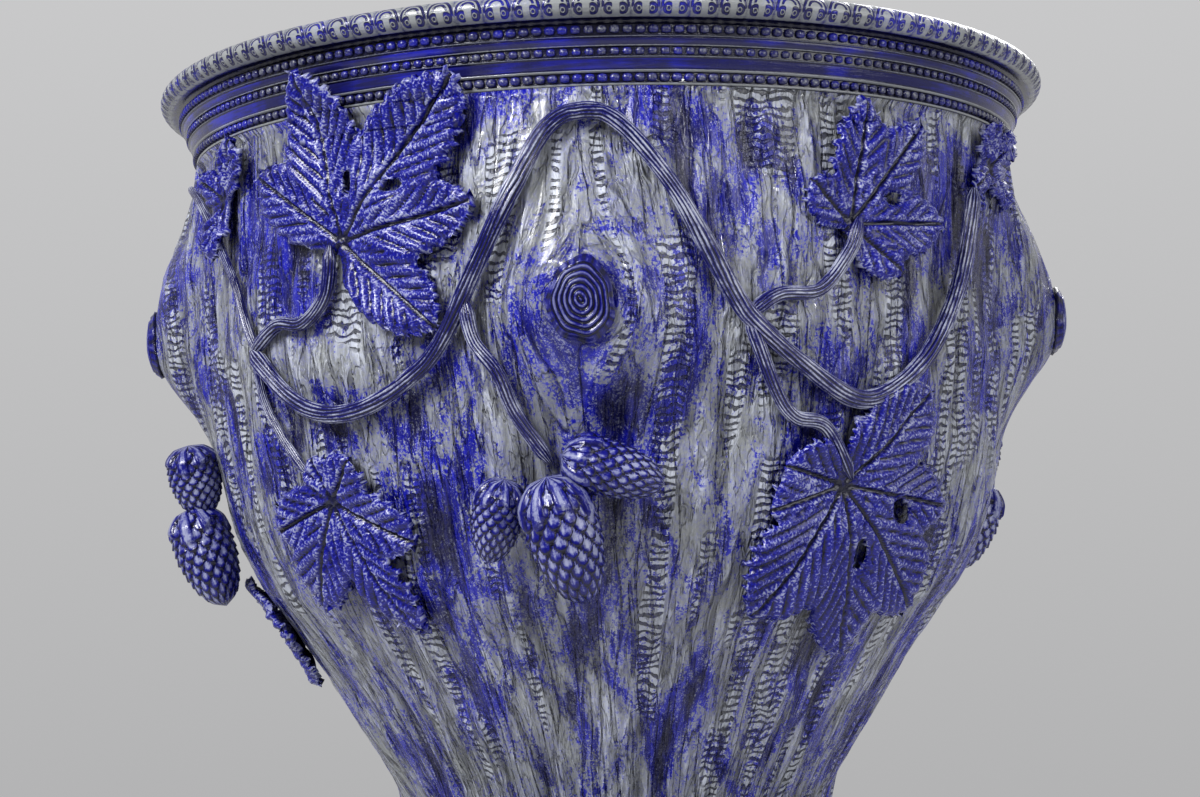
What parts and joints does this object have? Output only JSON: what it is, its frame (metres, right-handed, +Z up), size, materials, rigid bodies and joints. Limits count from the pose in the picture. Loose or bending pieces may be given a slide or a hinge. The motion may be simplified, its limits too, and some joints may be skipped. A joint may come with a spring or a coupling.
{
  "type": "jardiniere on stand",
  "caption": "Salt-glazed stoneware planter like a hollow tree trunk hung with a hop vine, seated on a matching flared trunk pedestal.",
  "frame": {"origin": "centre of the stand's underside, on the floor", "axes": "+Z up along the pot's axis, -Y towards the front of the pot, +X to its right"},
  "size_m": [0.4506, 0.4541, 0.9543],
  "materials": {
    "trunk_glaze": "grey stoneware mottled with cobalt blue under a clear salt glaze",
    "moulding_glaze": "cobalt blue over grey stoneware, glossy salt glaze",
    "leaf_glaze": "cobalt blue pooled between pale veins, glossy salt glaze",
    "hop_glaze": "deep cobalt blue, pale at the scale edges, glossy salt glaze",
    "vine_glaze": "cobalt in the grooves of grey striated clay, glossy salt glaze",
    "knot_glaze": "cobalt between grey rings, glossy salt glaze"
  },
  "bodies": {
    "stand": {"stand_foot": "moulding_glaze", "stand_hop_back": "hop_glaze", "stand_hop_front": "hop_glaze", "stand_knot_back": "knot_glaze", "stand_knot_front": "knot_glaze", "stand_leaf_high_back": "leaf_glaze", "stand_leaf_high_front": "leaf_glaze", "stand_leaf_low_back": "leaf_glaze", "stand_leaf_low_front": "leaf_glaze", "stand_top": "moulding_glaze", "stand_trunk": "trunk_glaze", "stand_vine_back": "vine_glaze", "stand_vine_front": "vine_glaze"},
    "jardiniere": {"hop_left_back": "hop_glaze", "hop_left_front": "hop_glaze", "hop_middle_back": "hop_glaze", "hop_middle_front": "hop_glaze", "hop_right_back": "hop_glaze", "hop_right_front": "hop_glaze", "hop_side_lower_back": "hop_glaze", "hop_side_lower_front": "hop_glaze", "hop_side_upper_back": "hop_glaze", "hop_side_upper_front": "hop_glaze", "knot_back": "knot_glaze", "knot_front": "knot_glaze", "knot_left": "knot_glaze", "knot_right": "knot_glaze", "leaf_curled_back": "leaf_glaze", "leaf_curled_front": "leaf_glaze", "leaf_high_left_back": "leaf_glaze", "leaf_high_left_front": "leaf_glaze", "leaf_high_right_back": "leaf_glaze", "leaf_high_right_front": "leaf_glaze", "leaf_low_left_back": "leaf_glaze", "leaf_low_left_front": "leaf_glaze", "leaf_low_right_back": "leaf_glaze", "leaf_low_right_front": "leaf_glaze", "leaf_rim_right_back": "leaf_glaze", "leaf_rim_right_front": "leaf_glaze", "leaf_side_back": "leaf_glaze", "leaf_side_front": "leaf_glaze", "pot_body": "trunk_glaze", "pot_floor": "moulding_glaze", "pot_foot": "moulding_glaze", "pot_rim": "moulding_glaze", "rim_roll": "moulding_glaze", "shoot_back": "vine_glaze", "shoot_front": "vine_glaze", "stalk_high_left_back": "vine_glaze", "stalk_high_left_front": "vine_glaze", "stalk_high_right_back": "vine_glaze", "stalk_high_right_front": "vine_glaze", "stalk_hops_back": "vine_glaze", "stalk_hops_front": "vine_glaze", "stalk_low_right_back": "vine_glaze", "stalk_low_right_front": "vine_glaze", "tendril_back": "vine_glaze", "tendril_front": "vine_glaze", "vine_back": "vine_glaze", "vine_front": "vine_glaze"}
  },
  "joints": [
    {"name": "jardiniere_lift", "type": "slide", "parent": "stand", "child": "jardiniere", "axis": [0, 0, 1], "range_m": [0, 0.06]}
  ]
}
